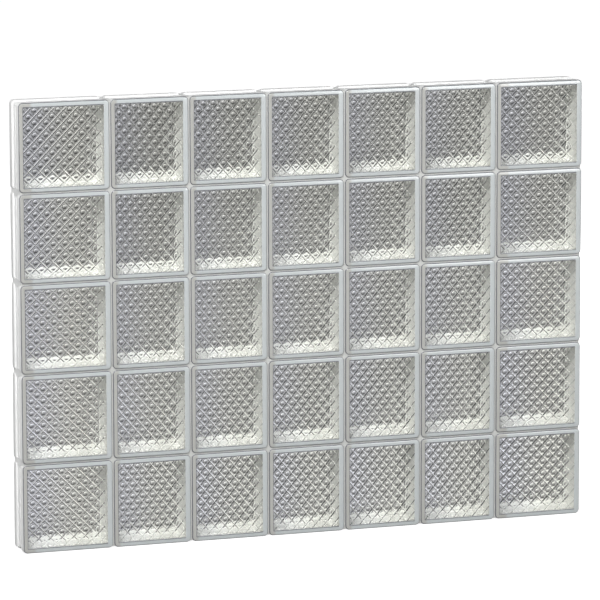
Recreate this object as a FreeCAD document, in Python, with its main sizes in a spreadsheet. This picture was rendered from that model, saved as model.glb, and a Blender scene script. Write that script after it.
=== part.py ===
"""Glass block window panel: seven columns by five courses of hollow glass blocks.

Every block is pressed as two glass halves that are fused at mid depth, so it is one
hollow piece of glass. The blocks stand edge to edge with thin joints of clear
silicone: bed joints run the full width between the courses, head joints stand
between the blocks of one course. The two end columns are wider than the inner ones.

X runs along the width, Y from the front face to the back face, Z up. The origin is
at the middle of the underside.
"""

import FreeCAD, Part
import math
import os

import Sketcher
from FreeCAD import Vector

DRIVING_SIZES = {
    "courses": 5,
    "inner_columns": 5,
    "end_block_width": 202,
    "inner_block_width": 175,
    "block_height": 194.5,
    "block_depth": 79.4,
    "corner_radius": 9,
    "face_edge_radius": 3,
    "lip_depth": 20,
    "channel_recess": 3.5,
    "shoulder_chamfer": 2.5,
    "seam_width": 4,
    "seam_height": 0.8,
    "face_thickness": 7,
    "rim_width": 8,
    "cavity_corner_radius": 5,
    "cavity_edge_radius": 2,
    "joint_width": 3,
    "joint_face_recess": 3.5,
    "joint_edge_recess": 2.5,
}

OUTLINE_CORNERS = (
    (1, -1, -math.pi / 2),
    (1, 1, 0.0),
    (-1, 1, math.pi / 2),
    (-1, -1, math.pi),
)


def add_size_sheet(doc):
    """Spreadsheet of the driving sizes, each in a cell with its own alias."""
    sheet = doc.addObject("Spreadsheet::Sheet", "sizes")
    for row, (alias, value) in enumerate(DRIVING_SIZES.items(), start=1):
        sheet.set(f"A{row}", alias)
        sheet.set(f"B{row}", str(value))
        sheet.setAlias(f"B{row}", alias)
    doc.recompute()
    return sheet


def origin_plane(body, role):
    return next(item for item in body.Origin.OriginFeatures if item.Role == role)


def outline_geometry(width, height, radius):
    """Lines and corner arcs of a rounded rectangle about the sketch origin."""
    points = []
    arcs = []
    for x_sign, y_sign, start in OUTLINE_CORNERS:
        centre = Vector(x_sign * (width / 2 - radius), y_sign * (height / 2 - radius), 0)
        circle = Part.Circle(centre, Vector(0, 0, 1), radius)
        arc = Part.ArcOfCircle(circle, start, start + math.pi / 2)
        arcs.append(arc)
        points.append((arc.StartPoint, arc.EndPoint))
    geometry = []
    for index, arc in enumerate(arcs):
        geometry.append(Part.LineSegment(points[index - 1][1], points[index][0]))
        geometry.append(arc)
    return geometry


def add_outline(body, name, width, height, radius, offset="0 mm"):
    """Rounded rectangle sketch across the depth axis, centred on the block.

    width, height, radius and offset are expressions; offset moves the sketch
    along its normal, which points to the front.
    """
    sketch = body.newObject("Sketcher::SketchObject", name)
    sketch.AttachmentSupport = [(origin_plane(body, "XZ_Plane"), "")]
    sketch.MapMode = "FlatFace"
    sketch.addGeometry(outline_geometry(120.0, 100.0, 5.0), False)
    sides = 8
    rules = [
        Sketcher.Constraint("Tangent", side, 2, (side + 1) % sides, 1)
        for side in range(sides)
    ]
    rules += [Sketcher.Constraint("Vertical", side) for side in (2, 6)]
    rules += [Sketcher.Constraint("Horizontal", side) for side in (0, 4)]
    rules += [Sketcher.Constraint("Equal", 1, side) for side in (3, 5, 7)]
    rules.append(Sketcher.Constraint("Symmetric", 1, 3, 5, 3, -1, 1))
    sketch.addConstraint(rules)
    driven = (
        ("width", Sketcher.Constraint("DistanceX", 6, 1, 2, 1, 120.0), width),
        ("height", Sketcher.Constraint("DistanceY", 0, 1, 4, 1, 100.0), height),
        ("radius", Sketcher.Constraint("Radius", 1, 5.0), radius),
    )
    for alias, rule, expression in driven:
        index = sketch.addConstraint(rule)
        sketch.renameConstraint(index, alias)
        sketch.setExpression(f"Constraints.{alias}", expression)
    sketch.setExpression(".AttachmentOffset.Base.z", offset)
    return sketch


def add_extrusion(body, kind, name, sketch, length, midplane=False, towards_back=False):
    """Pad or Pocket of a sketch; length is an expression."""
    feature = body.newObject(kind, name)
    feature.Profile = sketch
    feature.Midplane = midplane
    feature.Reversed = towards_back
    feature.setExpression("Length", length)
    return feature


def flat_edges(shape, depth_at, half_width=0.0, half_height=0.0):
    """Names of the edges in both planes at y = +/- depth_at, outside a half size."""
    names = []
    for index, edge in enumerate(shape.Edges, start=1):
        box = edge.BoundBox
        flat = box.YLength < 1e-4 and abs(abs(box.YMin) - depth_at) < 1e-4
        reach_x = max(abs(box.XMin), abs(box.XMax))
        reach_z = max(abs(box.ZMin), abs(box.ZMax))
        if flat and (reach_x > half_width or reach_z > half_height):
            names.append(f"Edge{index}")
    return names


def add_edge_treatment(doc, body, kind, name, size_name, expression, edges):
    """Chamfer or Fillet on the named edges of the body as it stands."""
    base = body.Tip
    feature = body.newObject(kind, name)
    feature.Base = (base, edges)
    feature.setExpression(size_name, expression)
    doc.recompute()
    return feature


def add_block(doc, sheet, name, width_alias, place):
    """One hollow glass block with its lips, edge channel, fused seam and cavity.

    place holds the expressions for the x and z of the block's centre.
    """
    body = doc.addObject("PartDesign::Body", name)
    body.Label = name
    width = f"sizes.{width_alias}"
    height = "sizes.block_height"
    depth = "sizes.block_depth"
    recess = "sizes.channel_recess"
    bead = "sizes.seam_height"

    core = add_outline(
        body,
        f"{name}_core_outline",
        f"{width} - 2 * {recess}",
        f"{height} - 2 * {recess}",
        f"sizes.corner_radius - {recess}",
    )
    add_extrusion(body, "PartDesign::Pad", f"{name}_core", core, depth, midplane=True)

    lip_length = f"sizes.lip_depth + {recess}"
    for side, offset, towards_back in (
        ("front", f"{depth} / 2", True),
        ("back", f"-{depth} / 2", False),
    ):
        outline = add_outline(
            body, f"{name}_{side}_outline", width, height, "sizes.corner_radius", offset
        )
        add_extrusion(
            body,
            "PartDesign::Pad",
            f"{name}_{side}_lip",
            outline,
            lip_length,
            towards_back=towards_back,
        )
    doc.recompute()

    half_depth = sheet.block_depth / 2
    outside = sheet.channel_recess - 0.01
    half_width = sheet.get(width_alias) / 2 - outside
    half_height = sheet.block_height / 2 - outside
    shoulder = half_depth - sheet.lip_depth - sheet.channel_recess
    add_edge_treatment(
        doc,
        body,
        "PartDesign::Chamfer",
        f"{name}_shoulders",
        "Size",
        "sizes.shoulder_chamfer",
        flat_edges(body.Tip.Shape, shoulder, half_width, half_height),
    )
    add_edge_treatment(
        doc,
        body,
        "PartDesign::Fillet",
        f"{name}_face_edges",
        "Radius",
        "sizes.face_edge_radius",
        flat_edges(body.Tip.Shape, half_depth, half_width, half_height),
    )

    seam = add_outline(
        body,
        f"{name}_seam_outline",
        f"{width} - 2 * ({recess} - {bead})",
        f"{height} - 2 * ({recess} - {bead})",
        f"sizes.corner_radius - {recess} + {bead}",
    )
    add_extrusion(
        body, "PartDesign::Pad", f"{name}_seam", seam, "sizes.seam_width", midplane=True
    )

    cavity = add_outline(
        body,
        f"{name}_cavity_outline",
        f"{width} - 2 * sizes.rim_width",
        f"{height} - 2 * sizes.rim_width",
        "sizes.cavity_corner_radius",
    )
    add_extrusion(
        body,
        "PartDesign::Pocket",
        f"{name}_cavity",
        cavity,
        f"{depth} - 2 * sizes.face_thickness",
        midplane=True,
    )
    doc.recompute()
    add_edge_treatment(
        doc,
        body,
        "PartDesign::Fillet",
        f"{name}_cavity_edges",
        "Radius",
        "sizes.cavity_edge_radius",
        flat_edges(body.Tip.Shape, half_depth - sheet.face_thickness),
    )

    across, up = place
    body.setExpression(".Placement.Base.x", across)
    body.setExpression(".Placement.Base.z", up)
    return body


def column_centre(column, inner_columns):
    """Expression for the x of a column's centre, columns counted from 0."""
    pitch = "(sizes.inner_block_width + sizes.joint_width)"
    if 0 < column <= inner_columns:
        return f"{column - (inner_columns + 1) / 2} * {pitch}"
    half_inner = f"sizes.inner_columns * {pitch} / 2"
    end_offset = "(sizes.joint_width + sizes.end_block_width) / 2"
    sign = "-" if column == 0 else ""
    return f"{sign}({half_inner} + {end_offset})"


def course_base(course):
    """Expression for the underside of a course, courses counted from 0."""
    return f"{course} * (sizes.block_height + sizes.joint_width)"


def course_centre(course):
    return f"{course_base(course)} + sizes.block_height / 2"


def head_joint_centre(joint):
    """Expression for the x of a head joint, joints counted from 0 at the left."""
    pitch = "(sizes.inner_block_width + sizes.joint_width)"
    return f"({joint} - sizes.inner_columns / 2) * {pitch}"


def joint_reach():
    """How far a joint's blank runs past the joint, to fill the rounded corners."""
    return "min(sizes.corner_radius; sizes.rim_width - 1)"


def joint_span():
    """Expression for the depth of a joint, recessed from both faces."""
    return "(sizes.block_depth - 2 * sizes.joint_face_recess)"


def add_blank(doc, name, size, place):
    """Plain box whose three sizes and corner position are expressions."""
    box = doc.addObject("Part::Box", name)
    for side, expression in zip(("Length", "Width", "Height"), size):
        box.setExpression(side, expression)
    for axis, expression in zip("xyz", place):
        box.setExpression(f".Placement.Base.{axis}", expression)
    return box


def add_joint(doc, name, blanks, blocks):
    """Silicone joint: blanks cut back by the blocks that they run between."""
    base = doc.addObject("Part::Compound", f"{name}_blanks")
    base.Links = blanks
    tool = doc.addObject("Part::Compound", f"{name}_neighbours")
    tool.Links = blocks
    joint = doc.addObject("Part::Cut", name)
    joint.Label = name
    joint.Base = base
    joint.Tool = tool
    return joint


def add_head_joints(doc, course, last_course, joint_count, blocks):
    """The upright strips between the blocks of one course, in one object."""
    name = f"head_joints_course{course + 1}"
    reach = joint_reach()
    bottom = "sizes.joint_edge_recess" if course == 0 else reach
    top = "sizes.joint_edge_recess" if course == last_course else reach
    size = (
        f"sizes.joint_width + 2 * {reach}",
        joint_span(),
        f"sizes.block_height - {bottom} - {top}",
    )
    blanks = []
    for joint in range(joint_count):
        place = (
            f"{head_joint_centre(joint)} - sizes.joint_width / 2 - {reach}",
            f"-{joint_span()} / 2",
            f"{course_base(course)} + {bottom}",
        )
        blanks.append(add_blank(doc, f"{name}_blank{joint + 1}", size, place))
    return add_joint(doc, name, blanks, blocks)


def add_bed_joint(doc, course, blocks):
    """The level joint between a course and the one above it."""
    name = f"bed_joint_{course + 1}"
    inner = "sizes.inner_columns * (sizes.inner_block_width + sizes.joint_width)"
    ends = "sizes.joint_width + 2 * sizes.end_block_width"
    length = f"({inner} + {ends} - 2 * sizes.joint_edge_recess)"
    reach = joint_reach()
    size = (length, joint_span(), f"sizes.joint_width + 2 * {reach}")
    place = (
        f"-{length} / 2",
        f"-{joint_span()} / 2",
        f"{course_base(course)} + sizes.block_height - {reach}",
    )
    blank = add_blank(doc, f"{name}_blank", size, place)
    return add_joint(doc, name, [blank], blocks)


def check_document(doc, pieces):
    """Stop if any object failed or any piece is missing or invalid."""
    failed = [item.Name for item in doc.Objects if {"Invalid", "Error"} & set(item.State)]
    if failed:
        raise RuntimeError(f"failed objects: {failed}")
    for piece in pieces:
        if piece.Shape.isNull() or not piece.Shape.isValid():
            raise RuntimeError(f"bad shape: {piece.Label}")


def main():
    doc = FreeCAD.newDocument("glass_block_window")
    sheet = add_size_sheet(doc)
    courses = int(sheet.courses)
    inner_columns = int(sheet.inner_columns)
    columns = inner_columns + 2
    rows = []
    for course in range(courses):
        row = []
        for column in range(columns):
            is_end = column in (0, columns - 1)
            row.append(
                add_block(
                    doc,
                    sheet,
                    f"glass_block_course{course + 1}_col{column + 1}",
                    "end_block_width" if is_end else "inner_block_width",
                    (column_centre(column, inner_columns), course_centre(course)),
                )
            )
        rows.append(row)
    doc.recompute()

    joints = [
        add_head_joints(doc, course, courses - 1, columns - 1, row)
        for course, row in enumerate(rows)
    ]
    joints += [
        add_bed_joint(doc, course, rows[course] + rows[course + 1])
        for course in range(courses - 1)
    ]
    doc.recompute()

    pieces = [block for row in rows for block in row] + joints
    check_document(doc, pieces)
    os.makedirs("parts", exist_ok=True)
    for piece in pieces:
        piece.Shape.exportStep(os.path.join("parts", f"{piece.Label}.step"))
        solids = len(piece.Shape.Solids)
        print(f"{piece.Label}: {solids} solid(s), {piece.Shape.Volume:.0f} mm3")


main()
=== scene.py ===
"""Looks of a frameless glass block window: pressed glass blocks in silicone joints."""

import logging
import math
from dataclasses import dataclass, field
from enum import Enum

import bmesh
import bpy
import numpy as np
from mathutils import Matrix, Vector


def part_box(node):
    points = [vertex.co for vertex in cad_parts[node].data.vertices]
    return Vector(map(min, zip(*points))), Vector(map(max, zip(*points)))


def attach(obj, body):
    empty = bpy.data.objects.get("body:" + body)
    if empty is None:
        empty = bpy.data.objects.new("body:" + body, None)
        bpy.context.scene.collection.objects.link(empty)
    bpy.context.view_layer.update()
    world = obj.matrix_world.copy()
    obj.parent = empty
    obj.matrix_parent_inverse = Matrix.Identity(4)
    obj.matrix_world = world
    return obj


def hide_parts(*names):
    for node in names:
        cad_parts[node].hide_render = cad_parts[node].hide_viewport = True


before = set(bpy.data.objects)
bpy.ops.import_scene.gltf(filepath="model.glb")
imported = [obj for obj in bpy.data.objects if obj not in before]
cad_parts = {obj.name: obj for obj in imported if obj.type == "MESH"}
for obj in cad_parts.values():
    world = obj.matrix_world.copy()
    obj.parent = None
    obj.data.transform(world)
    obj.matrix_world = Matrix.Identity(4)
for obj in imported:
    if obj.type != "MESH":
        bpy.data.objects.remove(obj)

LOG = logging.getLogger("glass_block_window")
MM = 0.001
TINY = 1e-9
SMALL = 1e-6
FILLET_STEPS = 3
PATCH_DETAIL = 3.0

Colour = tuple[float, float, float]
Span = tuple[float, float]
Spot = tuple[float, float, float]
NodeTree = bpy.types.NodeTree
Socket = bpy.types.NodeSocket

GLASS_IOR = 1.52
WHITE_COAT: Colour = (0.83, 0.835, 0.83)
WALL_WHITE: Colour = (0.83, 0.83, 0.805)
RIM_GREY: Colour = (0.51, 0.54, 0.55)
# dark grey of the painted shade lines round each face's pane and along its edge
SHADE_GREY: Colour = (0.16, 0.165, 0.18)


class Side(Enum):
    """The two pressed halves of a block, by the way their face looks along Y."""

    FRONT = -1
    BACK = 1


class BlockPart(Enum):
    """Material index of each kind of surface on a block."""

    CLEAR = 0
    COATED = 1
    WALL = 2
    # a white strip low on each patterned inner face: a painted reflection of the lit
    # cavity floor
    SILL = 3
    PATTERN = 4
    RIM = 5
    # thin dark lines round the pane and on the face edge: painted shade
    EDGE = 6


def new_material(name: str) -> tuple[bpy.types.Material, NodeTree]:
    """Make an empty node material.

    Args:
        name: The material's name.

    Returns:
        The material and its cleared node tree.
    """
    material = bpy.data.materials.new(name)
    material.use_nodes = True
    tree = material.node_tree
    tree.nodes.clear()
    return material, tree


def put_node(tree: NodeTree, kind: str, **values: object) -> bpy.types.Node:
    """Add a node and set its plain properties and sockets.

    Args:
        tree: The node tree that takes the node.
        kind: The node's type name, such as "ShaderNodeMath".
        **values: Properties by name; a name that is no property is an input socket,
            with underscores for its spaces.

    Returns:
        The new node.
    """
    node = tree.nodes.new(kind)
    for key, value in values.items():
        if hasattr(node, key):
            setattr(node, key, value)
        else:
            node.inputs[key.replace("_", " ")].default_value = value
    return node


def join(tree: NodeTree, start: Socket, end: Socket) -> None:
    """Link an output socket to an input socket."""
    tree.links.new(start, end)


def new_group(
    name: str, sockets: dict[str, str]
) -> tuple[NodeTree, bpy.types.Node, bpy.types.Node]:
    """Make a shared node group that puts out one colour.

    Args:
        name: The group's name.
        sockets: Kind of each input by its name, "Color" or "Float".

    Returns:
        The group, its input node and its output node.
    """
    group = bpy.data.node_groups.new(name, "ShaderNodeTree")
    for label, kind in sockets.items():
        group.interface.new_socket(
            name=label, in_out="INPUT", socket_type=f"NodeSocket{kind}"
        )
    group.interface.new_socket(
        name="Color", in_out="OUTPUT", socket_type="NodeSocketColor"
    )
    start = put_node(group, "NodeGroupInput")
    return group, start, put_node(group, "NodeGroupOutput")


def put_group(
    tree: NodeTree, group: NodeTree, **values: float | Colour
) -> bpy.types.Node:
    """Add a shared group to a material with the material's own values.

    Args:
        tree: The material's node tree.
        group: The shared group.
        **values: Values of the group's inputs by name.

    Returns:
        The group's node, whose output is named Color.
    """
    node = put_node(tree, "ShaderNodeGroup", node_tree=group)
    for key, value in values.items():
        plain = (*value, 1.0) if isinstance(value, tuple) else value
        node.inputs[key].default_value = plain
    return node


def tone_across() -> NodeTree:
    """Make the shared group that paints light and shade, turning from one colour to
    another across a block.

    Returns:
        The group. Left and Right are the colours, From and To the metres along X
        between which they turn.
    """
    group, start, end = new_group(
        "tone_across",
        {"Left": "Color", "Right": "Color", "From": "Float", "To": "Float"},
    )
    place = put_node(group, "ShaderNodeTexCoord")
    split = put_node(group, "ShaderNodeSeparateXYZ")
    share = put_node(group, "ShaderNodeMapRange", interpolation_type="SMOOTHSTEP")
    blend = put_node(group, "ShaderNodeMix", data_type="RGBA")
    join(group, place.outputs["Object"], split.inputs[0])
    join(group, split.outputs["X"], share.inputs["Value"])
    join(group, start.outputs["From"], share.inputs["From Min"])
    join(group, start.outputs["To"], share.inputs["From Max"])
    join(group, share.outputs["Result"], blend.inputs["Factor"])
    join(group, start.outputs["Left"], blend.inputs["A"])
    join(group, start.outputs["Right"], blend.inputs["B"])
    join(group, blend.outputs["Result"], end.inputs["Color"])
    return group


def uneven_patches() -> NodeTree:
    """Make the shared group that dapples a colour with slightly darker patches.

    Returns:
        The group. Scale is how many patches there are along a metre, Depth how much
        darker the darkest is.
    """
    group, start, end = new_group(
        "uneven_patches", {"Color": "Color", "Scale": "Float", "Depth": "Float"}
    )
    place = put_node(group, "ShaderNodeTexCoord")
    noise = put_node(group, "ShaderNodeTexNoise", Detail=PATCH_DETAIL)
    dip = put_node(group, "ShaderNodeMath", operation="MULTIPLY")
    keep = put_node(group, "ShaderNodeMath", operation="SUBTRACT")
    keep.inputs[0].default_value = 1.0
    shade = put_node(group, "ShaderNodeVectorMath", operation="SCALE")
    join(group, place.outputs["Object"], noise.inputs["Vector"])
    join(group, start.outputs["Scale"], noise.inputs["Scale"])
    join(group, noise.outputs["Fac"], dip.inputs[0])
    join(group, start.outputs["Depth"], dip.inputs[1])
    join(group, dip.outputs[0], keep.inputs[1])
    join(group, start.outputs["Color"], shade.inputs[0])
    join(group, keep.outputs[0], shade.inputs["Scale"])
    join(group, shade.outputs[0], end.inputs["Color"])
    return group


@dataclass(frozen=True)
class PressedGlass:
    """Clear soda-lime glass that lets lamps reach what is behind it; its colour is a
    painted tint of light, cool at a block's left and warm at its right.
    """

    tone: NodeTree
    left_light_tint: Colour = (0.95, 0.957, 0.99)
    right_light_tint: Colour = (0.985, 0.985, 0.955)
    turn: Span = (-0.08, 0.03)
    lamp_tint: Colour = (0.95, 0.955, 0.95)
    far_haze: float = 0.0

    def add(self, tree: NodeTree) -> Socket:
        """Add the glass to a material.

        Args:
            tree: The material's node tree.

        Returns:
            The shader's output socket.
        """
        glass = put_node(
            tree,
            "ShaderNodeBsdfPrincipled",
            Roughness=0.0,
            IOR=GLASS_IOR,
            Transmission_Weight=1.0,
        )
        # painted light: the glass turns from a cool tint at a block's left to a warm
        # one at its right
        start, stop = self.turn
        tint = put_group(
            tree,
            self.tone,
            Left=self.left_light_tint,
            Right=self.right_light_tint,
            From=start,
            To=stop,
        )
        join(tree, tint.outputs["Color"], glass.inputs["Base Color"])
        if self.far_haze > 0.0:
            facing = put_node(tree, "ShaderNodeNewGeometry")
            haze = put_node(
                tree, "ShaderNodeMapRange", To_Min=self.far_haze, To_Max=0.0
            )
            join(tree, facing.outputs["Backfacing"], haze.inputs["Value"])
            join(tree, haze.outputs["Result"], glass.inputs["Roughness"])
        through = put_node(
            tree, "ShaderNodeBsdfTransparent", Color=(*self.lamp_tint, 1.0)
        )
        path = put_node(tree, "ShaderNodeLightPath")
        either = put_node(tree, "ShaderNodeMath", operation="MAXIMUM")
        mix = put_node(tree, "ShaderNodeMixShader")
        join(tree, path.outputs["Is Shadow Ray"], either.inputs[0])
        join(tree, path.outputs["Is Diffuse Ray"], either.inputs[1])
        join(tree, either.outputs[0], mix.inputs[0])
        join(tree, glass.outputs[0], mix.inputs[1])
        join(tree, through.outputs[0], mix.inputs[2])
        return mix.outputs[0]

    def build(self, name: str) -> bpy.types.Material:
        """Make the glass material under the given name."""
        material, tree = new_material(name)
        out = put_node(tree, "ShaderNodeOutputMaterial")
        join(tree, self.add(tree), out.inputs["Surface"])
        return material


@dataclass(frozen=True)
class TwoFacedCoat:
    """A coated glass surface that reads apart from its two sides.

    The open side is the one in air. The other is looked at through the glass, and is
    a dull colour or clear glass.
    """

    name: str
    patches: NodeTree
    open_colour: Colour
    open_roughness: float
    gloss: float
    inside: Colour | PressedGlass = RIM_GREY
    inside_roughness: float = 0.6
    gloss_roughness: float = 0.03
    patch_scale: float = 22.0
    patch_depth: float = 0.08

    def uneven(self, tree: NodeTree, colour: Colour) -> Socket:
        """Add a colour that varies a little over the surface.

        Args:
            tree: The material's node tree.
            colour: The lightest shade.

        Returns:
            The colour's output socket.
        """
        node = put_group(
            tree,
            self.patches,
            Color=colour,
            Scale=self.patch_scale,
            Depth=self.patch_depth,
        )
        return node.outputs["Color"]

    def add_inside(self, tree: NodeTree) -> Socket:
        """Add what the surface looks like through the glass.

        Args:
            tree: The material's node tree.

        Returns:
            The shader's output socket.
        """
        if isinstance(self.inside, PressedGlass):
            return self.inside.add(tree)
        shell = put_node(
            tree,
            "ShaderNodeBsdfPrincipled",
            Roughness=self.inside_roughness,
            Specular_IOR_Level=0.0,
        )
        join(tree, self.uneven(tree, self.inside), shell.inputs["Base Color"])
        return shell.outputs[0]

    def build(self) -> bpy.types.Material:
        """Make the coat material."""
        material, tree = new_material(self.name)
        outside = put_node(
            tree,
            "ShaderNodeBsdfPrincipled",
            Roughness=self.open_roughness,
            Coat_Weight=self.gloss,
            Coat_Roughness=self.gloss_roughness,
            Coat_IOR=GLASS_IOR,
        )
        join(tree, self.uneven(tree, self.open_colour), outside.inputs["Base Color"])
        inside = self.add_inside(tree)
        facing = put_node(tree, "ShaderNodeNewGeometry")
        mix = put_node(tree, "ShaderNodeMixShader")
        out = put_node(tree, "ShaderNodeOutputMaterial")
        join(tree, facing.outputs["Backfacing"], mix.inputs[0])
        join(tree, outside.outputs[0], mix.inputs[1])
        join(tree, inside, mix.inputs[2])
        join(tree, mix.outputs[0], out.inputs["Surface"])
        return material


@dataclass(frozen=True)
class FaceRim:
    """A glossy fused border, with a darker beige painted shade at a block's left where
    it has a tone group.
    """

    name: str
    patches: NodeTree
    tone: NodeTree | None = None
    shaded_left_colour: Colour = (0.39, 0.39, 0.37)
    colour: Colour = (0.465, 0.495, 0.50)
    turn: Span = (-0.078, -0.07)
    roughness: float = 0.3
    gloss: float = 0.6
    gloss_roughness: float = 0.12
    patch_scale: float = 60.0
    patch_depth: float = 0.06

    def build(self) -> bpy.types.Material:
        """Make the rim material."""
        material, tree = new_material(self.name)
        rim = put_node(
            tree,
            "ShaderNodeBsdfPrincipled",
            Roughness=self.roughness,
            Coat_Weight=self.gloss,
            Coat_Roughness=self.gloss_roughness,
            Coat_IOR=GLASS_IOR,
        )
        out = put_node(tree, "ShaderNodeOutputMaterial")
        shade = put_group(
            tree,
            self.patches,
            Color=self.colour,
            Scale=self.patch_scale,
            Depth=self.patch_depth,
        )
        if self.tone:
            # painted shade: the rim turns a darker beige at a block's left
            start, stop = self.turn
            tint = put_group(
                tree,
                self.tone,
                Left=self.shaded_left_colour,
                Right=self.colour,
                From=start,
                To=stop,
            )
            join(tree, tint.outputs["Color"], shade.inputs["Color"])
        join(tree, shade.outputs["Color"], rim.inputs["Base Color"])
        join(tree, rim.outputs[0], out.inputs["Surface"])
        return material


def block_finishes() -> dict[BlockPart, bpy.types.Material]:
    """Make the material of each kind of block surface."""
    tone = tone_across()
    patches = uneven_patches()
    return {
        BlockPart.CLEAR: PressedGlass(tone).build("polished_face"),
        BlockPart.PATTERN: PressedGlass(tone, far_haze=0.10).build("pressed_pattern"),
        # the rim's darker beige left is painted shade
        BlockPart.RIM: FaceRim("face_rim", patches, tone).build(),
        # painted shade: the dark lines round the pane and along the face edge
        BlockPart.EDGE: FaceRim(
            "painted_shade_line", patches, colour=SHADE_GREY, patch_depth=0.15
        ).build(),
        BlockPart.COATED: TwoFacedCoat(
            "edge_coat", patches, WHITE_COAT, open_roughness=0.4, gloss=0.0
        ).build(),
        BlockPart.WALL: TwoFacedCoat(
            "side_wall", patches, WALL_WHITE, open_roughness=0.6, gloss=0.6
        ).build(),
        # painted reflection: white towards the cavity, standing in for the lit floor
        # seen in the far face
        BlockPart.SILL: TwoFacedCoat(
            "painted_floor_reflection",
            patches,
            WALL_WHITE,
            open_roughness=0.6,
            gloss=0.6,
            inside=PressedGlass(tone),
        ).build(),
    }


@dataclass(frozen=True)
class ClearSilicone:
    """Cured clear silicone, milky between the faces and painted paler where it faces
    sideways: painted light that lifts the shade in the joint ends.
    """

    colour: Colour = (0.50, 0.505, 0.49)
    lit_side_colour: Colour = (0.78, 0.785, 0.78)
    roughness: float = 0.3
    ior: float = 1.41
    ripple_scale: float = 90.0
    ripple_detail: float = 2.0
    ripple_height: float = 0.0006
    ripple_strength: float = 0.15

    def build(self) -> bpy.types.Material:
        """Make the silicone material."""
        material, tree = new_material("clear_silicone")
        place = put_node(tree, "ShaderNodeTexCoord")
        noise = put_node(
            tree,
            "ShaderNodeTexNoise",
            Scale=self.ripple_scale,
            Detail=self.ripple_detail,
        )
        bump = put_node(
            tree,
            "ShaderNodeBump",
            Strength=self.ripple_strength,
            Distance=self.ripple_height,
        )
        gum = put_node(
            tree, "ShaderNodeBsdfPrincipled", Roughness=self.roughness, IOR=self.ior
        )
        out = put_node(tree, "ShaderNodeOutputMaterial")
        # painted light: the faces that look sideways get the paler colour, which lifts
        # their shade
        facing = put_node(tree, "ShaderNodeSeparateXYZ")
        outward = put_node(tree, "ShaderNodeMath", operation="ABSOLUTE")
        blend = put_node(
            tree,
            "ShaderNodeMix",
            data_type="RGBA",
            A=(*self.lit_side_colour, 1.0),
            B=(*self.colour, 1.0),
        )
        join(tree, place.outputs["Normal"], facing.inputs[0])
        join(tree, facing.outputs["Y"], outward.inputs[0])
        join(tree, outward.outputs[0], blend.inputs["Factor"])
        join(tree, blend.outputs["Result"], gum.inputs["Base Color"])
        join(tree, place.outputs["Object"], noise.inputs["Vector"])
        join(tree, noise.outputs["Fac"], bump.inputs["Height"])
        join(tree, bump.outputs["Normal"], gum.inputs["Normal"])
        join(tree, gum.outputs[0], out.inputs["Surface"])
        return material


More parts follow.
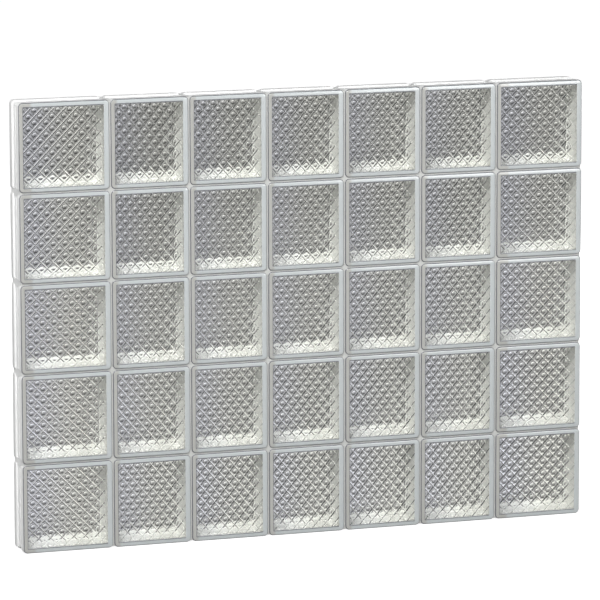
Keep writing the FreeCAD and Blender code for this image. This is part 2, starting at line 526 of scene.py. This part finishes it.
@dataclass(frozen=True)
class DiamondRelief:
    """The pressed pattern inside a face: crossed ridges with a dome in each diamond.

    Lengths are in millimetres. X runs across the face and Z up it; heights stand on
    the plain inner face.
    """

    pitch: float = 26.4
    ridge_height: float = 0.9
    ridge_half_width: float = 1.7
    dome_height: float = 2.05
    dome_radius: float = 5.5
    dome_rings: tuple[float, ...] = (0.45, 0.78, 1.0)
    around: int = 12
    near: float = 0.01

    def ball_radius(self) -> float:
        """Radius of the ball that a dome is cut from."""
        return (self.dome_radius**2 + self.dome_height**2) / (2.0 * self.dome_height)

    def ridge_spacing(self) -> float:
        """Distance between two ridges that run the same way."""
        return self.pitch / math.sqrt(2.0)

    def cell_rings(self) -> list[tuple[np.ndarray, np.ndarray]]:
        """Rings of points of one diamond from its dome to its ridge crests.

        Returns:
            Points and heights of each ring, innermost first.
        """
        turns = np.arange(self.around) * (2.0 * math.pi / self.around)
        circle = np.stack((np.cos(turns), np.sin(turns)), axis=-1)
        diamond = circle / np.abs(circle).sum(axis=1, keepdims=True)
        ball = self.ball_radius()
        rings = []
        for share in self.dome_rings:
            radius = self.dome_radius * share
            height = math.sqrt(ball**2 - radius**2) - (ball - self.dome_height)
            rings.append((circle * radius, np.full(self.around, height)))
        reach = self.pitch / 2.0
        foot = reach - self.ridge_half_width * math.sqrt(2.0)
        rings.append((diamond * foot, np.zeros(self.around)))
        rings.append((diamond * reach, np.full(self.around, self.ridge_height)))
        return rings

    def add_cell(
        self,
        sketch: bmesh.types.BMesh,
        middle: np.ndarray,
        rings: list[tuple[np.ndarray, np.ndarray]],
    ) -> None:
        """Add one diamond with its dome and its half of the ridges around it.

        Args:
            sketch: The mesh that takes it, with heights along Y.
            middle: The diamond's middle (x, z).
            rings: What cell_rings gives.
        """
        top = sketch.verts.new((middle[0], self.dome_height, middle[1]))
        loops = [
            [
                sketch.verts.new((middle[0] + x, height, middle[1] + z))
                for (x, z), height in zip(points, heights)
            ]
            for points, heights in rings
        ]
        for index in range(self.around):
            after = (index + 1) % self.around
            sketch.faces.new((top, loops[0][index], loops[0][after]))
            for low, high in zip(loops, loops[1:]):
                sketch.faces.new((low[index], high[index], high[after], low[after]))

    def sheet(
        self, half_x: float, half_z: float
    ) -> tuple[np.ndarray, list[list[int]]]:
        """The pattern over a rectangle, as points (x, height, z) and faces.

        Args:
            half_x: Half the width of the rectangle.
            half_z: Half its height.

        Returns:
            The points and the faces, whose corners run anticlockwise seen with
            X to the right and Z up.
        """
        rings = self.cell_rings()
        sketch = bmesh.new()
        half = self.pitch / 2.0
        reach_x = int(half_x / half) + 2
        reach_z = int(half_z / half) + 2
        for column in range(-reach_x, reach_x + 1):
            for row in range(-reach_z, reach_z + 1):
                middle = np.array((column * half, row * half))
                outside = (np.abs(middle) - half > (half_x, half_z)).any()
                if (column + row) % 2 and not outside:
                    self.add_cell(sketch, middle, rings)
        bmesh.ops.remove_doubles(sketch, verts=sketch.verts, dist=self.near)
        for axis, limit in ((0, half_x), (2, half_z)):
            for sign in (-1.0, 1.0):
                away = Vector((0.0, 0.0, 0.0))
                away[axis] = sign
                bmesh.ops.bisect_plane(
                    sketch,
                    geom=sketch.verts[:] + sketch.edges[:] + sketch.faces[:],
                    dist=2.0 * self.near,
                    plane_co=away * limit,
                    plane_no=away,
                    clear_outer=True,
                )
        sketch.verts.index_update()
        points = np.array([vert.co for vert in sketch.verts])
        faces = [[vert.index for vert in face.verts] for face in sketch.faces]
        sketch.free()
        return points, faces

    def on_ridge(self, spots: np.ndarray) -> np.ndarray:
        """Whether each spot (x, z) lies on a ridge, its feet included."""
        side = self.ridge_spacing()
        turned = np.stack((spots.sum(axis=1), spots[:, 0] - spots[:, 1]), axis=-1)
        turned /= math.sqrt(2.0)
        off = np.abs(turned - np.round(turned / side) * side).min(axis=1)
        return off < self.ridge_half_width + self.near

    def slope_at(self, middle: np.ndarray, spot: np.ndarray) -> np.ndarray:
        """Slope of the ground at a corner of a face.

        Args:
            middle: The face's middle (x, z), which says what kind of ground it is.
            spot: The corner's (x, z).

        Returns:
            The rise along X and along Z.
        """
        side = self.ridge_spacing()
        along = (middle[0] + middle[1]) / math.sqrt(2.0)
        across = (middle[0] - middle[1]) / math.sqrt(2.0)
        off_along = along - round(along / side) * side
        off_across = across - round(across / side) * side
        if min(abs(off_along), abs(off_across)) < self.ridge_half_width:
            steep = self.ridge_height / self.ridge_half_width / math.sqrt(2.0)
            if abs(off_along) <= abs(off_across):
                rise = -math.copysign(steep, off_along)
                return np.array((rise, rise))
            rise = -math.copysign(steep, off_across)
            return np.array((rise, -rise))
        column = math.floor(along / side) + math.floor(across / side) + 1
        row = math.floor(along / side) - math.floor(across / side)
        centre = np.array((column, row)) * (self.pitch / 2.0)
        if np.hypot(*(middle - centre)) > self.dome_radius:
            return np.zeros(2)
        away = spot - centre
        drop = math.sqrt(max(self.ball_radius() ** 2 - float(away @ away), SMALL))
        return -away / drop


@dataclass
class MeshDraft:
    """Points, faces and surface kinds of a block's mesh in the making.

    Lengths are in millimetres, about the block's centre.
    """

    points: list[np.ndarray] = field(default_factory=list)
    faces: list[tuple[int, ...]] = field(default_factory=list)
    kinds: list[int] = field(default_factory=list)
    leans: dict[int, list[Spot]] = field(default_factory=dict)
    count: int = 0
    sharp_angle: float = 40.0

    def add_points(self, flat: np.ndarray, y: float | np.ndarray) -> list[int]:
        """Add points.

        Args:
            flat: Their (x, z).
            y: Their depth, as one number or one for each.

        Returns:
            Their indices.
        """
        rows = np.empty((len(flat), 3))
        rows[:, 0] = flat[:, 0]
        rows[:, 1] = y
        rows[:, 2] = flat[:, 1]
        self.points.append(rows)
        self.count += len(flat)
        return list(range(self.count - len(flat), self.count))

    def add_face(self, ring: tuple[int, ...], kind: BlockPart) -> None:
        """Add a face of the given kind."""
        self.faces.append(ring)
        self.kinds.append(kind.value)

    def add_ring(
        self, low: list[int], high: list[int], kind: BlockPart, turned: bool = False
    ) -> None:
        """Add the strip of faces between two closed loops.

        Args:
            low: The points of one loop.
            high: As many points of the other.
            kind: What kind of surface it is.
            turned: Whether the faces look the other way.
        """
        for index in range(len(low)):
            after = (index + 1) % len(low)
            quad = (low[index], low[after], high[after], high[index])
            self.add_face(quad[::-1] if turned else quad, kind)

    def finish(self, name: str) -> bpy.types.Mesh:
        """Make the mesh in metres, with the normals that leans gives.

        Args:
            name: The mesh's name.

        Returns:
            The new mesh.
        """
        mesh = bpy.data.meshes.new(name)
        points = np.concatenate(self.points) * MM
        mesh.from_pydata(points.tolist(), [], self.faces)
        mesh.polygons.foreach_set("material_index", self.kinds)
        mesh.polygons.foreach_set("use_smooth", [True] * len(self.faces))
        mesh.update()
        mesh.set_sharp_from_angle(angle=math.radians(self.sharp_angle))
        own = np.zeros((len(mesh.loops), 3))
        for index, leans in self.leans.items():
            start = mesh.polygons[index].loop_start
            own[start : start + len(leans)] = leans
        length = np.linalg.norm(own, axis=1, keepdims=True)
        mesh.normals_split_custom_set((own / np.maximum(length, TINY)).tolist())
        return mesh


@dataclass
class GlassBlock:
    """One hollow block with its shell, edge channel, fused seam and pressed pattern.

    Lengths are in millimetres.
    """

    width: float
    height: float = 194.5
    depth: float = 79.4
    corner_radius: float = 9.0
    least_radius: float = 1.5
    side_reach: float = 2.0
    face_edge_radius: float = 3.0
    lip_depth: float = 20.0
    channel_recess: float = 3.5
    shoulder: float = 2.5
    seam_width: float = 4.0
    seam_height: float = 0.8
    face_thickness: float = 7.0
    rim_width: float = 8.0
    fillet_rim: float = 0.4
    cavity_corner_radius: float = 5.0
    cavity_edge_radius: float = 2.0
    corner_steps: int = 5
    clearance: float = 0.06
    # height of the white strip that paints the floor's reflection
    reflection_rise: float = 12.0
    right_border: float = 3.5
    # widths of the painted shade lines left of, above and below the clear pane
    shade_lines: tuple[float, float, float] = (1.2, 2.0, 1.0)
    relief: DiamondRelief = field(default_factory=DiamondRelief)
    back_share: float = 0.4
    fade_share: float = 0.45
    ridge_share: float = 0.87
    fade_start: float = 21.5
    fade_end: float = 27.0
    reference_width: float = 202.0

    def outer_profile(self) -> list[tuple[float, float, BlockPart]]:
        """Depth, inset and surface kind of each loop of the shell, front to back.

        Returns:
            The loops. The kind is that of the strip from a loop to the next.
        """
        half = self.depth / 2.0
        edge = self.face_edge_radius
        lip_end = self.lip_depth + self.channel_recess
        border = self.rim_width + self.fillet_rim * self.cavity_edge_radius
        coated = BlockPart.COATED
        front = [(-half, border, BlockPart.RIM)]
        # the outer part of the face's edge fillet is painted dark: a painted shade
        # outline
        edge_kinds = (BlockPart.RIM, BlockPart.EDGE, BlockPart.EDGE, coated)
        for step, kind in enumerate(edge_kinds):
            turn = math.radians(90.0 * step / FILLET_STEPS)
            depth = -half + edge * (1.0 - math.cos(turn))
            front.append((depth, edge * (1.0 - math.sin(turn)), kind))
        bead = self.channel_recess - self.seam_height
        front += [
            (-half + lip_end - self.shoulder, 0.0, coated),
            (-half + lip_end, self.shoulder, coated),
            (-half + lip_end, self.channel_recess, coated),
            (-self.seam_width / 2.0, self.channel_recess, coated),
            (-self.seam_width / 2.0, bead, coated),
        ]
        rows = front + [(-y, inset, part) for y, inset, part in reversed(front)]
        kinds = [part for _, _, part in front[:-1]]
        kinds = kinds + [coated] + kinds[::-1] + [BlockPart.RIM]
        return [(y, inset, kind) for (y, inset, _), kind in zip(rows, kinds)]

    def outer_loop(self, inset: float) -> np.ndarray:
        """Points of a rounded rectangle that lies inset from the block's outline."""
        inset += self.clearance
        radius = max(self.corner_radius - inset, self.least_radius)
        half_x = self.width / 2.0 - inset - radius
        half_z = self.height / 2.0 - inset - radius
        points = []
        for index, (sx, sz) in enumerate(((1, -1), (1, 1), (-1, 1), (-1, -1))):
            for step in range(self.corner_steps + 1):
                turn = math.radians(90.0 * (index - 1 + step / self.corner_steps))
                x = sx * half_x + radius * math.cos(turn)
                z = sz * half_z + radius * math.sin(turn)
                points.append((x, z))
        return np.array(points)

    def pane_loop(self, border: np.ndarray) -> np.ndarray:
        """Outline of the clear pane, inside the painted shade lines left, above and
        below it.

        Args:
            border: Outline of the pane with its lines.

        Returns:
            As many points as border has.
        """
        left, top, bottom = self.shade_lines
        low = border.min(axis=0) + self.side_reach
        high = border.max(axis=0) - self.side_reach
        pane = border.copy()
        pane[border[:, 0] < low[0], 0] += left
        pane[border[:, 1] > high[1], 1] -= top
        pane[border[:, 1] < low[1], 1] += bottom
        return pane

    def field_sheet(self) -> tuple[np.ndarray, list[list[int]], float]:
        """The pattern field of this block's face, squeezed to the block's width.

        Returns:
            Points (x, height, z), faces, and the squeeze along X.
        """
        inset = self.rim_width + self.cavity_edge_radius
        full_x = self.reference_width / 2.0 - inset
        squeeze = (self.width / 2.0 - inset) / full_x
        points, faces = self.relief.sheet(full_x, self.height / 2.0 - inset)
        points[:, 0] *= squeeze
        return points, faces, squeeze

    def relief_share(self, side: Side, spots: np.ndarray) -> np.ndarray:
        """How much of the pattern's full height each spot of a face has.

        Args:
            side: The face.
            spots: Points (x, z) of the field before it is squeezed.

        Returns:
            One share for each spot: even at the back, while at the front the pattern
            fades towards the bottom and the right, over the lit walls.
        """
        if side is Side.BACK:
            return np.full(len(spots), self.back_share)
        reach = np.stack((-spots[:, 0], spots[:, 1]), axis=-1)
        inside = (reach - reach.min(axis=0)).min(axis=1)
        step = (inside - self.fade_start) / (self.fade_end - self.fade_start)
        ridges = self.relief.on_ridge(spots)
        least = np.where(ridges, self.ridge_share, self.fade_share)
        return least + (1.0 - least) * np.clip(step, 0.0, 1.0)

    def rim_order(self, points: np.ndarray) -> list[int]:
        """Indices of the field's border points, anticlockwise from the lower left."""
        half_x = np.abs(points[:, 0]).max()
        half_z = np.abs(points[:, 2]).max()
        near = self.relief.near
        low = np.flatnonzero(points[:, 2] < near - half_z)
        right = np.flatnonzero(points[:, 0] > half_x - near)
        high = np.flatnonzero(points[:, 2] > half_z - near)
        left = np.flatnonzero(points[:, 0] < near - half_x)
        order = list(low[np.argsort(points[low, 0])][:-1])
        order += list(right[np.argsort(points[right, 2])][:-1])
        order += list(high[np.argsort(-points[high, 0])][:-1])
        order += list(left[np.argsort(-points[left, 2])][:-1])
        return [int(index) for index in order]

    def cavity_loop(self, rim: np.ndarray, outset: float) -> np.ndarray:
        """Border points moved out to a rounded rectangle around the field.

        Args:
            rim: The field's border points.
            outset: How far the loop lies outside the field.

        Returns:
            As many points as rim has.
        """
        half = np.abs(rim).max(axis=0)
        radius = self.cavity_corner_radius - self.cavity_edge_radius + outset
        grown = half + outset
        points = rim * (grown / half)
        core = np.clip(points, -(grown - radius), grown - radius)
        away = points - core
        length = np.linalg.norm(away, axis=1, keepdims=True)
        in_corner = (np.abs(away) > TINY).all(axis=1, keepdims=True)
        round_points = core + away / np.maximum(length, TINY) * radius
        return np.where(in_corner, round_points, points)

    def add_shell(self, draft: MeshDraft) -> None:
        """Add the outside: the faces with their rims and lines, and the sides."""
        profile = self.outer_profile()
        outlines = [self.outer_loop(inset) for _, inset, _ in profile]
        outlines[0][:, 0] -= np.where(outlines[0][:, 0] > 0.0, self.right_border, 0.0)
        loops = [
            draft.add_points(flat, y) for flat, (y, _, _) in zip(outlines, profile)
        ]
        for here, after, (_, _, kind) in zip(loops, loops[1:], profile):
            draft.add_ring(after, here, kind)
        for end, step in ((0, 1), (-1, -1)):
            outline, border = outlines[end], loops[end]
            clear = self.pane_loop(outline)
            pane = draft.add_points(clear, profile[end][0])
            for index in range(len(border)):
                after = (index + 1) % len(border)
                ring = np.stack((*outline[[index, after]], *clear[[after, index]]))
                if np.ptp(ring, axis=0).min() < SMALL:
                    continue
                # the strips between the rim and the pane are painted shade lines
                quad = (border[index], border[after], pane[after], pane[index])
                draft.add_face(quad[::step], BlockPart.EDGE)
            draft.add_face(tuple(pane)[::step], BlockPart.CLEAR)

    def add_half_cavity(
        self,
        draft: MeshDraft,
        side: Side,
        field_mesh: tuple[np.ndarray, list[list[int]], float],
    ) -> list[int]:
        """Add one half's inside: its pattern field and the fillet around it.

        Args:
            draft: The mesh that takes it.
            side: Which half it is.
            field_mesh: What field_sheet gives.

        Returns:
            The points of the fillet's outer loop, where the side wall starts.
        """
        sheet, faces, squeeze = field_mesh
        flat = sheet[:, (0, 2)]
        order = self.rim_order(sheet)
        rim = flat[order]
        inner = self.depth / 2.0 - self.face_thickness
        sign = float(side.value)
        spots = flat / (squeeze, 1.0)
        shares = self.relief_share(side, spots)
        ground = draft.add_points(flat, sign * (inner - shares * sheet[:, 1]))
        turned = -1 if side is Side.FRONT else 1
        for face in faces:
            middle = spots[face].mean(axis=0)
            leans = []
            for spot, share in zip(spots[face], shares[face]):
                rise_x, rise_z = self.relief.slope_at(middle, spot) * share
                leans.append((-rise_x / squeeze, -sign, -rise_z))
            draft.leans[len(draft.faces)] = leans[::turned]
            # the field's lowest strip is white towards the cavity: a painted reflection
            # of the lit floor
            in_reflection_band = middle[1] < self.reflection_rise + rim[:, 1].min()
            kind = BlockPart.SILL if in_reflection_band else BlockPart.PATTERN
            draft.add_face(tuple(ground[index] for index in face)[::turned], kind)
        loop = [ground[index] for index in order]
        edge = self.cavity_edge_radius
        for step in range(1, FILLET_STEPS + 1):
            turn = math.radians(90.0 * step / FILLET_STEPS)
            depth = sign * (inner - edge * (1.0 - math.cos(turn)))
            wider = self.cavity_loop(rim, edge * math.sin(turn))
            after = draft.add_points(wider, depth)
            draft.add_ring(loop, after, BlockPart.WALL, turned=side is Side.BACK)
            loop = after
        return loop

    def build(self, name: str) -> bpy.types.Mesh:
        """Make the block's mesh about its own centre, in metres."""
        draft = MeshDraft()
        self.add_shell(draft)
        sheet = self.field_sheet()
        front, back = (self.add_half_cavity(draft, side, sheet) for side in Side)
        draft.add_ring(front, back, BlockPart.WALL)
        return draft.finish(name)


@dataclass
class BlockPanel:
    """The courses of blocks, placed where the frame has them."""

    courses: int = 5
    columns: int = 7
    end_width: float = 202.0
    inner_width: float = 175.0

    def build(self, finishes: dict[BlockPart, bpy.types.Material]) -> None:
        """Make both block sizes once and set one at each place in the panel.

        Args:
            finishes: The material of each kind of surface.
        """
        end = GlassBlock(self.end_width).build("end_block")
        inner = GlassBlock(self.inner_width).build("inner_block")
        for mesh in (end, inner):
            for part in BlockPart:
                mesh.materials.append(finishes[part])
        for course in range(1, self.courses + 1):
            for column in range(1, self.columns + 1):
                place = f"course{course}_col{column}"
                node = f"glass_block_{place}"
                low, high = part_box(node)
                mesh = end if column in (1, self.columns) else inner
                block = bpy.data.objects.new(f"block_{place}", mesh)
                bpy.context.collection.objects.link(block)
                block.location = (low + high) / 2.0
                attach(block, "root")
                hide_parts(node)
        LOG.info("blocks: %d courses of %d", self.courses, self.columns)


@dataclass
class SiliconeJoints:
    """The bed joints and head joints, dressed as the frame has them."""

    courses: int = 5

    def build(self, finish: bpy.types.Material) -> None:
        """Give each joint its finish."""
        names = [f"head_joints_course{course}" for course in range(1, self.courses + 1)]
        names += [f"bed_joint_{course}" for course in range(1, self.courses)]
        for name in names:
            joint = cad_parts[name]
            joint.data.materials.clear()
            joint.data.materials.append(finish)
        LOG.info("joints: %d", len(names))


@dataclass
class PaleFloor:
    """The floor, which keeps the panel's shadow and glows white further out.

    Lift is the glow's inner and outer distance, and its level at each.
    """

    reach: float = 14.0
    colour: Colour = (0.34, 0.34, 0.34)
    roughness: float = 0.9
    lift: tuple[float, float, float, float] = (0.6, 3.0, 0.8, 1.0)

    def finish(self) -> bpy.types.Material:
        """Make the floor's material."""
        material, tree = new_material("pale_floor")
        paint = put_node(
            tree,
            "ShaderNodeBsdfPrincipled",
            Base_Color=(*self.colour, 1.0),
            Roughness=self.roughness,
            Emission_Color=(1.0, 1.0, 1.0, 1.0),
        )
        place = put_node(tree, "ShaderNodeTexCoord")
        away = put_node(tree, "ShaderNodeVectorMath", operation="LENGTH")
        inner, outer, low, high = self.lift
        level = put_node(
            tree,
            "ShaderNodeMapRange",
            interpolation_type="SMOOTHSTEP",
            From_Min=inner,
            From_Max=outer,
            To_Min=low,
            To_Max=high,
        )
        path = put_node(tree, "ShaderNodeLightPath")
        glow = put_node(tree, "ShaderNodeMath", operation="MULTIPLY")
        out = put_node(tree, "ShaderNodeOutputMaterial")
        join(tree, place.outputs["Object"], away.inputs[0])
        join(tree, away.outputs["Value"], level.inputs["Value"])
        join(tree, level.outputs["Result"], glow.inputs[1])
        join(tree, path.outputs["Is Camera Ray"], glow.inputs[0])
        join(tree, glow.outputs[0], paint.inputs["Emission Strength"])
        join(tree, paint.outputs[0], out.inputs["Surface"])
        return material

    def build(self) -> None:
        """Lay the floor."""
        mesh = bpy.data.meshes.new("floor")
        signs = ((-1, -1), (1, -1), (1, 1), (-1, 1))
        edges = [(x * self.reach, y * self.reach, 0.0) for x, y in signs]
        mesh.from_pydata(edges, [], [(0, 1, 2, 3)])
        mesh.materials.append(self.finish())
        floor = bpy.data.objects.new("floor", mesh)
        bpy.context.collection.objects.link(floor)
        floor.visible_transmission = False


@dataclass
class SoftRoom:
    """The room around: white where it is looked at, toned where the glass shows it.

    The tone goes by how far a direction points along lean, alike to the left and
    right and to the front and back. Stops are places between its two ends, 0 and 1,
    each with its brightness.
    """

    lean: Spot = (0.30, 0.10, -0.95)
    stops: tuple[Span, ...] = (
        (0.0, 0.03),
        (0.44, 0.05),
        (0.603, 0.12),
        (0.635, 0.395),
        (0.71, 0.36),
        (0.76, 1.1),
        (1.0, 1.4),
    )

    def put_ramp(self, tree: NodeTree) -> bpy.types.Node:
        """Add the ramp of the room's tones.

        Args:
            tree: The world's node tree.

        Returns:
            The ramp's node.
        """
        ramp = put_node(tree, "ShaderNodeValToRGB")
        ramp.color_ramp.interpolation = "EASE"
        elements = ramp.color_ramp.elements
        while len(elements) < len(self.stops):
            elements.new(0.5)
        for element, (position, level) in zip(elements, self.stops):
            element.position = position
            element.color = (level, level, level, 1.0)
        return ramp

    def build(self) -> None:
        """Make the world."""
        world = bpy.data.worlds.new("soft_room")
        bpy.context.scene.world = world
        world.use_nodes = True
        tree = world.node_tree
        tree.nodes.clear()
        place = put_node(tree, "ShaderNodeTexCoord")
        split = put_node(tree, "ShaderNodeSeparateXYZ")
        even = put_node(tree, "ShaderNodeCombineXYZ")
        along = put_node(tree, "ShaderNodeVectorMath", operation="DOT_PRODUCT")
        along.inputs[1].default_value = self.lean
        stretch = put_node(tree, "ShaderNodeMapRange", From_Min=-1.0)
        ramp = self.put_ramp(tree)
        path = put_node(tree, "ShaderNodeLightPath")
        mix = put_node(
            tree, "ShaderNodeMix", data_type="RGBA", B=(1.0, 1.0, 1.0, 1.0)
        )
        glow = put_node(tree, "ShaderNodeBackground", Strength=1.0)
        out = put_node(tree, "ShaderNodeOutputWorld")
        join(tree, place.outputs["Generated"], split.inputs[0])
        for axis in "XY":
            size = put_node(tree, "ShaderNodeMath", operation="ABSOLUTE")
            join(tree, split.outputs[axis], size.inputs[0])
            join(tree, size.outputs[0], even.inputs[axis])
        join(tree, split.outputs["Z"], even.inputs["Z"])
        join(tree, even.outputs[0], along.inputs[0])
        join(tree, along.outputs["Value"], stretch.inputs["Value"])
        join(tree, stretch.outputs["Result"], ramp.inputs["Fac"])
        join(tree, ramp.outputs["Color"], mix.inputs["A"])
        join(tree, path.outputs["Is Camera Ray"], mix.inputs["Factor"])
        join(tree, mix.outputs["Result"], glow.inputs["Color"])
        join(tree, glow.outputs[0], out.inputs["Surface"])


@dataclass(frozen=True)
class SoftLamp:
    """A rectangular soft lamp, with its power in watts.

    Glints says whether glossy surfaces mirror it.
    """

    name: str
    place: Spot
    size: Span
    power: float
    glints: bool = True

    def build(self, target: Vector) -> None:
        """Hang the lamp facing the target."""
        data = bpy.data.lights.new(self.name, "AREA")
        data.shape = "RECTANGLE"
        data.size, data.size_y = self.size
        data.energy = self.power
        lamp = bpy.data.objects.new(self.name, data)
        lamp.location = self.place
        lamp.visible_camera = False
        lamp.visible_transmission = False
        lamp.visible_glossy = self.glints
        aim = target - Vector(self.place)
        lamp.rotation_mode = "QUATERNION"
        lamp.rotation_quaternion = aim.to_track_quat("-Z", "Y")
        bpy.context.collection.objects.link(lamp)


@dataclass
class PanelCamera:
    """The camera on the panel's left, a little above its middle.

    Angles are in degrees; aim_up and aim_side are how far it looks past the middle.
    """

    middle: Spot = (0.0, 0.0, 0.49225)
    azimuth: float = -18.584
    elevation: float = 9.527
    distance: float = 10.016
    lens: float = 272.5
    roll: float = -0.149
    aim_up: float = 0.0245
    aim_side: float = -0.0018
    clip_end: float = 100.0

    def build(self) -> None:
        """Set up the camera."""
        turn, rise = math.radians(self.azimuth), math.radians(self.elevation)
        level = math.cos(rise)
        back = Vector(
            (math.sin(turn) * level, -math.cos(turn) * level, math.sin(rise))
        )
        centre = Vector(self.middle)
        place = centre + back * self.distance
        right = (-back).cross(Vector((0.0, 0.0, 1.0))).normalized()
        up = right.cross(-back)
        aim = centre + up * self.aim_up + right * self.aim_side
        data = bpy.data.cameras.new("camera")
        data.lens = self.lens
        data.clip_end = self.clip_end
        camera = bpy.data.objects.new("camera", data)
        camera.location = place
        camera.rotation_mode = "QUATERNION"
        look = (aim - place).to_track_quat("-Z", "Y").to_matrix().to_4x4()
        spin = Matrix.Rotation(math.radians(self.roll), 4, "Z")
        camera.rotation_quaternion = (look @ spin).to_quaternion()
        bpy.context.collection.objects.link(camera)
        bpy.context.scene.camera = camera


@dataclass
class Studio:
    """Floor, room, lamps and camera."""

    target: Spot = (0.0, 0.0, 0.5)
    lamps: tuple[SoftLamp, ...] = (
        SoftLamp("key", (-2.0, -3.1, 4.0), (2.0, 1.4), 235.0),
        SoftLamp("low", (-3.0, -3.0, 1.2), (1.4, 1.6), 25.0),
        SoftLamp("back", (1.4, 4.0, 1.5), (2.4, 1.6), 110.0, glints=False),
        SoftLamp("right", (3.4, 0.8, 1.4), (1.4, 1.8), 22.0),
        SoftLamp("fill", (2.2, -3.8, 1.8), (1.6, 2.2), 95.0),
        SoftLamp("side", (-3.4, 0.2, 1.4), (1.4, 1.8), 24.0),
    )

    def build(self) -> None:
        """Set up the whole studio."""
        PaleFloor().build()
        SoftRoom().build()
        for lamp in self.lamps:
            lamp.build(Vector(self.target))
        PanelCamera().build()
        bpy.context.scene.view_settings.view_transform = "Standard"
        LOG.info("studio: %d lamps", len(self.lamps))


def main() -> None:
    """Build the panel's pieces in order, then the studio."""
    logging.basicConfig(level=logging.INFO, format="%(message)s")
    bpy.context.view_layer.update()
    BlockPanel().build(block_finishes())
    SiliconeJoints().build(ClearSilicone().build())
    Studio().build()


if __name__ == "__main__":
    main()
